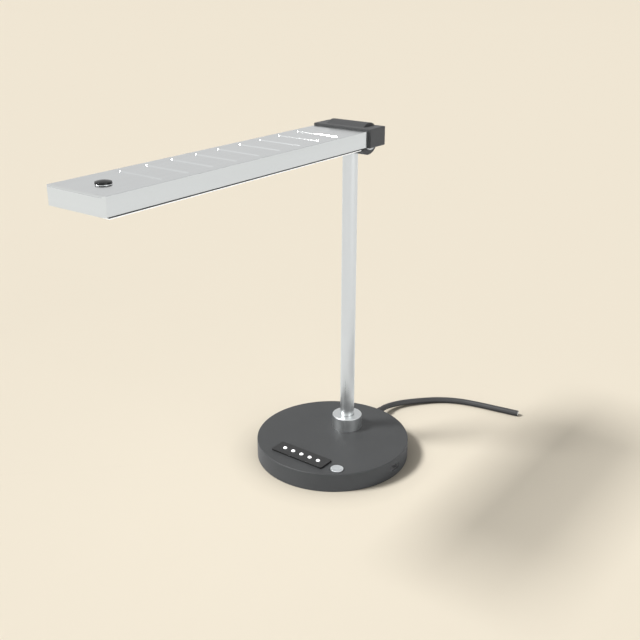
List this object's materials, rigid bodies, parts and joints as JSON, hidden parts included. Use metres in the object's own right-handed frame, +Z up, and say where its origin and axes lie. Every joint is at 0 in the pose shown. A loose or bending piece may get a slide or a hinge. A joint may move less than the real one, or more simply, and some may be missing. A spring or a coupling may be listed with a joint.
{
  "type": "desk lamp",
  "caption": "Desk lamp with a flat light bar that tilts on a hinge, a pole that swivels in a collar and a round weighted base with touch controls and a charging socket.",
  "frame": {"origin": "centre of the round base on the table", "axes": "+Z up, +Y to the rear where the cord leaves, the light bar reaches towards -Y, +X to the right of someone facing the controls"},
  "size_m": [0.2315, 0.5645, 0.3935],
  "materials": {
    "base_plastic": "satin",
    "hinge_plastic": "satin",
    "cover_plastic": "matte",
    "panel_plastic": "gloss",
    "button_black": "gloss",
    "button_silver": "satin",
    "lens_white": "gloss",
    "diffuser_white": "frosted",
    "satin_aluminium": "satin",
    "steel": "satin",
    "weight_steel": "as rolled",
    "chrome": "polished",
    "rubber_black": "matte",
    "gasket_rubber": "matte",
    "cord_grey": "satin",
    "nylon": "satin",
    "friction_fibre": "matte",
    "circuit_green": "gloss",
    "light_board": "white solder mask",
    "light_chip": "gloss",
    "electronics_black": "matte"
  },
  "bodies": {
    "base": {"base_shell": "base_plastic", "base_cover": "cover_plastic", "base_weight": "weight_steel", "foot_pad": "rubber_black", "base_screws": "steel", "touch_panel": "panel_plastic", "level_lens_1": "lens_white", "level_lens_2": "lens_white", "level_lens_3": "lens_white", "level_lens_4": "lens_white", "level_lens_5": "lens_white", "touch_board": "circuit_green", "level_chips": "light_chip", "power_switch": "electronics_black", "usb_socket": "steel", "usb_tongue": "nylon", "power_board": "circuit_green", "board_parts": "electronics_black", "board_screws": "steel", "strain_relief": "cord_grey", "cord": "cord_grey", "inner_lead": "cord_grey", "collar": "satin_aluminium", "collar_screws": "steel", "swivel_bush": "nylon", "thrust_washer": "nylon", "friction_washer": "friction_fibre", "stop_screw": "steel"},
    "power_button": {"power_button": "button_silver", "switch_plunger": "nylon"},
    "pole": {"pole_tube": "satin_aluminium", "swivel_spindle": "steel", "disc_spring": "steel", "swivel_nut": "steel", "pole_cable": "cord_grey", "hinge_barrel": "hinge_plastic", "hinge_bushes": "nylon", "barrel_grub_screw": "steel"},
    "light_bar": {"hinge_bracket": "steel", "hinge_axle": "steel", "hinge_washers": "friction_fibre", "hinge_spring": "steel", "hinge_nut": "steel", "hinge_cover": "hinge_plastic", "hinge_cover_screws": "steel", "bracket_screws": "steel", "bar_shell": "satin_aluminium", "bar_end_cap": "satin_aluminium", "led_board": "light_board", "led_chips": "light_chip", "led_connector": "nylon", "bar_lead": "cord_grey", "diffuser_gasket": "gasket_rubber", "diffuser": "diffuser_white", "bar_switch": "chrome", "bar_switch_nut": "steel"},
    "bar_button": {"bar_button": "button_black"}
  },
  "joints": [
    {"name": "pole_swivel", "type": "hinge", "parent": "base", "child": "pole", "pos_m": [0, 0.03, 0.03], "axis": [0, 0, 1], "range_deg": [-90, 90]},
    {"name": "bar_tilt", "type": "hinge", "parent": "pole", "child": "light_bar", "pos_m": [0, 0.03, 0.3764], "axis": [-1, 0, 0], "range_deg": [-35, 45]},
    {"name": "power_press", "type": "slide", "parent": "base", "child": "power_button", "axis": [0, 0, -1], "range_m": [0, 0.001], "stiffness_N_per_m": 300, "springref_m": -0.002},
    {"name": "bar_press", "type": "slide", "parent": "light_bar", "child": "bar_button", "axis": [0, 0, -1], "range_m": [0, 0.001], "stiffness_N_per_m": 300, "springref_m": -0.002}
  ]
}
